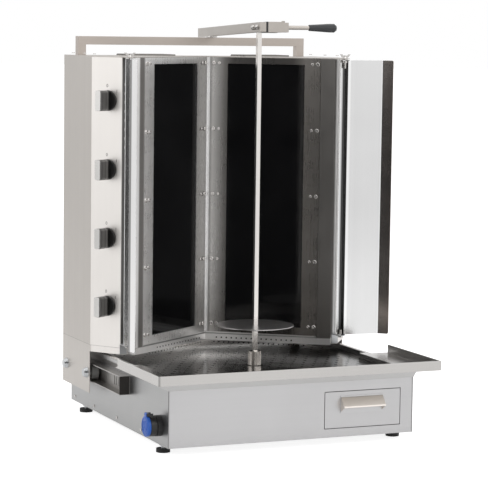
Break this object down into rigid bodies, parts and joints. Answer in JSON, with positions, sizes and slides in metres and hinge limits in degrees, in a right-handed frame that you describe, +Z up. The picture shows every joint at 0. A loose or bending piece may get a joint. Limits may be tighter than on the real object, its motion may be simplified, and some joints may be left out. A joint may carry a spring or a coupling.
{
  "type": "electric skewer grill",
  "caption": "Upright electric skewer grill: heated column on rails, hinged side wings, turning skewer under a portal arm, perforated drip basin, scrap drawer.",
  "frame": {"origin": "floor level, on the middle plane, at the centre of the base box", "axes": "+X to the right seen from the front, +Y to the rear, +Z up"},
  "size_m": [0.7352, 0.7925, 0.9547],
  "materials": {
    "satin_steel": "satin stainless sheet",
    "mirror_steel": "polished stainless sheet",
    "frame_steel": "heat-tinted stainless",
    "zinc_steel": "zinc plated",
    "ceramic_glass": "black glass ceramic",
    "element": "ceramic fibre tray with ribbons",
    "black_plastic": "satin black",
    "black_rubber": "matt",
    "blue_plastic": "socket blue",
    "motor_paint": "grey paint",
    "aluminium": "cast",
    "brass": "plain"
  },
  "bodies": {
    "base": {"base_front": "satin_steel", "base_shell": "satin_steel", "base_bottom": "satin_steel", "feet": "black_rubber", "foot_studs": "zinc_steel", "worktop": "satin_steel", "rim_collar": "satin_steel", "insert_left": "mirror_steel", "insert_right": "mirror_steel", "gear_motor": "motor_paint", "motor_posts": "zinc_steel", "slide_rails": "zinc_steel", "portal_legs": "satin_steel", "portal_bar": "satin_steel", "arm_pivot": "zinc_steel", "arm_tube": "satin_steel", "bearing_block": "aluminium", "arm_spacer": "black_plastic", "arm_bolts": "zinc_steel", "lever_fork": "aluminium", "drawer_runners": "zinc_steel", "power_inlet": "black_plastic", "inlet_pins": "brass"},
    "column": {"roller_axles": "zinc_steel", "column_pan": "satin_steel", "side_panel_left": "satin_steel", "side_panel_right": "satin_steel", "control_panel": "satin_steel", "front_posts": "frame_steel", "rear_cover": "satin_steel", "top_cover": "satin_steel", "frame_left": "frame_steel", "frame_right": "frame_steel", "ceramic_glass": "ceramic_glass", "heating_elements": "element", "element_carriers": "zinc_steel", "corner_strip": "mirror_steel", "energy_regulators": "black_plastic", "hinge_brackets": "zinc_steel", "hinge_bolts": "zinc_steel"},
    "skewer": {"drive_hub": "mirror_steel", "skewer_bar": "mirror_steel", "meat_plate": "mirror_steel"},
    "drawer": {"drawer_front": "satin_steel", "drawer_box": "satin_steel", "drawer_handle": "satin_steel"},
    "lid": {"inlet_lid": "blue_plastic"},
    "lever": {"lever_arm": "zinc_steel", "lever_grip": "black_plastic"},
    "pin": {"centre_pin": "zinc_steel"},
    "wing_left": {"wing_left": "mirror_steel"},
    "wing_right": {"wing_right": "mirror_steel"},
    "knob_1": {"knob_1": "black_plastic"},
    "roller_1": {"roller_1": "black_plastic"},
    "knob_2": {"knob_2": "black_plastic"},
    "roller_2": {"roller_2": "black_plastic"},
    "knob_3": {"knob_3": "black_plastic"},
    "roller_3": {"roller_3": "black_plastic"},
    "knob_4": {"knob_4": "black_plastic"},
    "roller_4": {"roller_4": "black_plastic"}
  },
  "joints": [
    {"name": "column_slide", "type": "slide", "parent": "base", "child": "column", "axis": [0, -1, 0], "range_m": [0, 0.14]},
    {"name": "skewer_spin", "type": "hinge", "parent": "base", "child": "skewer", "pos_m": [0, -0.1095, 0.2], "axis": [0, 0, 1], "continuous": true},
    {"name": "drawer_slide", "type": "slide", "parent": "base", "child": "drawer", "axis": [0, -1, 0], "range_m": [0, 0.3]},
    {"name": "wing_left_swing", "type": "hinge", "parent": "column", "child": "wing_left", "pos_m": [-0.274, 0.001, 0.5], "axis": [0, 0, 1], "range_deg": [-85, 30]},
    {"name": "wing_right_swing", "type": "hinge", "parent": "column", "child": "wing_right", "pos_m": [0.274, 0.001, 0.5], "axis": [0, 0, -1], "range_deg": [-19.5, 95.5]},
    {"name": "lid_hinge", "type": "hinge", "parent": "base", "child": "lid", "pos_m": [-0.332, -0.281, 0.0905], "axis": [0, 1, 0], "range_deg": [0, 110], "stiffness_Nm_per_rad": 0.02, "springref_deg": -28.65},
    {"name": "lever_swing", "type": "hinge", "parent": "base", "child": "lever", "pos_m": [0.02981, -0.11291, 0.93956], "axis": [0.1246, 0.9917, -0.0305], "range_deg": [0, 14]},
    {"name": "pin_lift", "type": "slide", "parent": "base", "child": "pin", "axis": [0, 0, 1], "range_m": [0, 0.0085]},
    {"name": "knob_1_turn", "type": "hinge", "parent": "column", "child": "knob_1", "pos_m": [-0.30366, 0.0645, 0.286], "axis": [-0.8118, -0.584, 0], "range_deg": [-300, 0]},
    {"name": "knob_2_turn", "type": "hinge", "parent": "column", "child": "knob_2", "pos_m": [-0.30366, 0.0645, 0.446], "axis": [-0.8118, -0.584, 0], "range_deg": [-300, 0]},
    {"name": "knob_3_turn", "type": "hinge", "parent": "column", "child": "knob_3", "pos_m": [-0.30366, 0.0645, 0.606], "axis": [-0.8118, -0.584, 0], "range_deg": [-300, 0]},
    {"name": "knob_4_turn", "type": "hinge", "parent": "column", "child": "knob_4", "pos_m": [-0.30366, 0.0645, 0.766], "axis": [-0.8118, -0.584, 0], "range_deg": [-300, 0]},
    {"name": "roller_1_roll", "type": "hinge", "parent": "column", "child": "roller_1", "pos_m": [-0.313, 0.127, 0.1203], "axis": [1, 0, 0], "range_deg": [-460, 460]},
    {"name": "roller_2_roll", "type": "hinge", "parent": "column", "child": "roller_2", "pos_m": [0.313, 0.127, 0.1203], "axis": [1, 0, 0], "range_deg": [-460, 460]},
    {"name": "roller_3_roll", "type": "hinge", "parent": "column", "child": "roller_3", "pos_m": [-0.313, 0.275, 0.1203], "axis": [1, 0, 0], "range_deg": [-460, 460]},
    {"name": "roller_4_roll", "type": "hinge", "parent": "column", "child": "roller_4", "pos_m": [0.313, 0.275, 0.1203], "axis": [1, 0, 0], "range_deg": [-460, 460]}
  ],
  "couplings": [
    {"joint": "pin_lift", "follows": "lever_swing", "m_per_rad": 0.033395},
    {"joint": "roller_1_roll", "follows": "column_slide", "rad_per_m": 55.556},
    {"joint": "roller_2_roll", "follows": "column_slide", "rad_per_m": 55.556},
    {"joint": "roller_3_roll", "follows": "column_slide", "rad_per_m": 55.556},
    {"joint": "roller_4_roll", "follows": "column_slide", "rad_per_m": 55.556}
  ]
}
